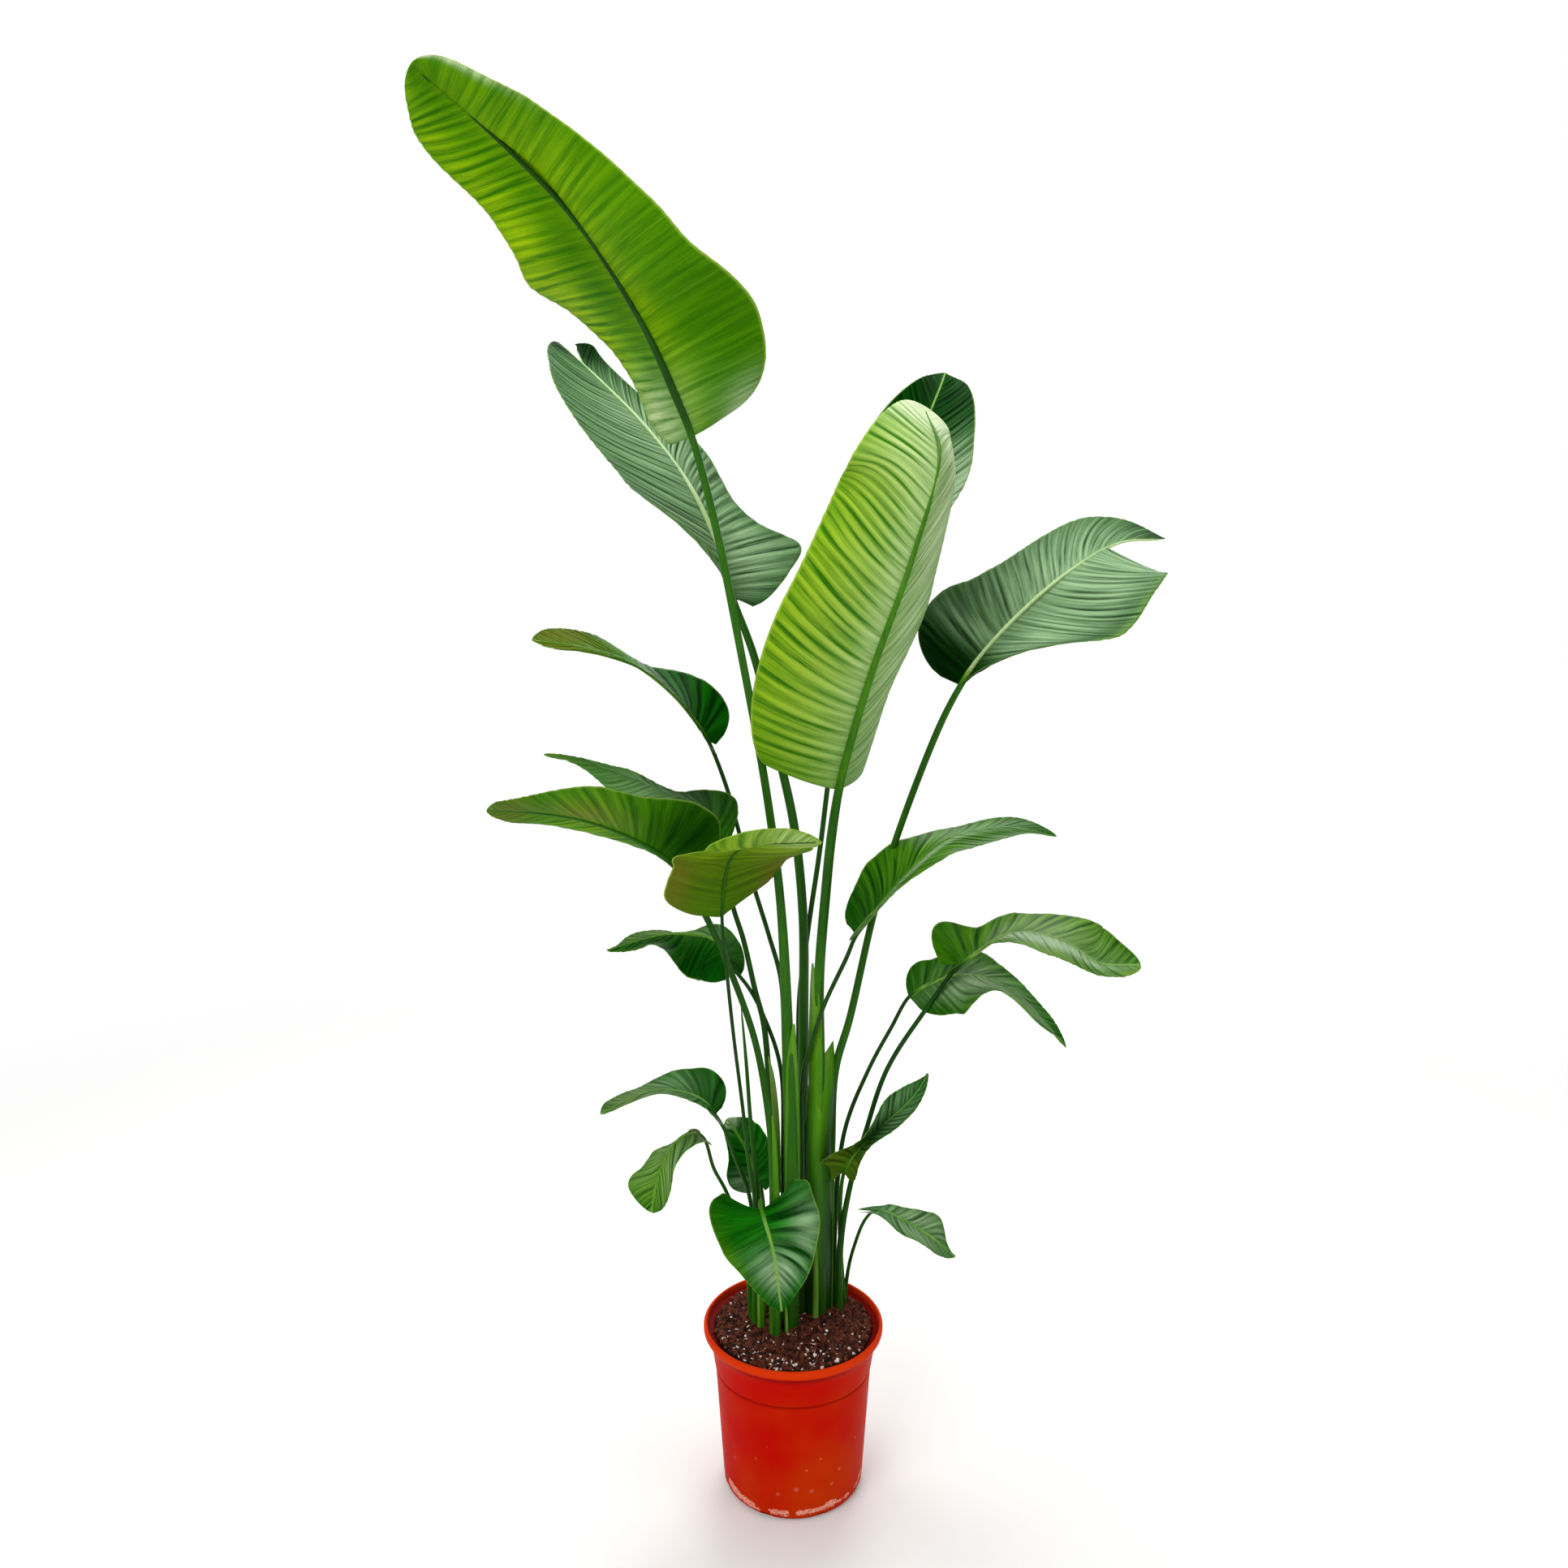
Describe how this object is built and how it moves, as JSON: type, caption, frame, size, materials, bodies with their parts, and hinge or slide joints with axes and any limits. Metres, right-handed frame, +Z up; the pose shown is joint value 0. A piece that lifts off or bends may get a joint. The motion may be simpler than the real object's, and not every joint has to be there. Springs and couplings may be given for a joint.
{
  "type": "potted bird of paradise plant",
  "caption": "Tall house plant with broad paddle leaves on long stalks, growing from soil in a round tapered nursery pot that stands on the floor.",
  "frame": {"origin": "middle of the pot's foot, on the ground", "axes": "+Z up along the pot's axis, -Y to the plant's front, +X to its right as seen from the front"},
  "size_m": [0.8813, 0.6185, 1.6637],
  "materials": {
    "pot": "semi-gloss, lightly scuffed red-orange plastic",
    "soil": "rough crumbly dark brown peat with white grains",
    "leaf_bright": "satin yellow-green leaf seen against the light",
    "leaf_deep": "waxy dark green leaf",
    "leaf_mid": "waxy mid green leaf",
    "young_leaf": "satin yellow-green rolled leaf"
  },
  "bodies": {
    "root": {"pot": "pot", "soil": "soil", "leaf_top": "leaf_bright", "leaf_front_tall": "leaf_bright", "leaf_right_high": "leaf_deep", "leaf_back_left": "leaf_deep", "leaf_back_right": "leaf_deep", "leaf_left_long": "leaf_bright", "leaf_left_back": "leaf_mid", "leaf_left_twisted": "leaf_mid", "leaf_left_small": "leaf_mid", "leaf_front_cup": "leaf_bright", "leaf_right_middle": "leaf_mid", "leaf_right_lower": "leaf_mid", "leaf_right_drooping": "leaf_mid", "leaf_low_right_upright": "leaf_mid", "leaf_low_right_small": "leaf_mid", "leaf_front_heart": "leaf_mid", "leaf_low_left": "leaf_mid", "leaf_low_left_hanging": "leaf_mid", "leaf_low_back": "leaf_mid", "leaf_young_spear": "young_leaf"}
  },
  "joints": []
}
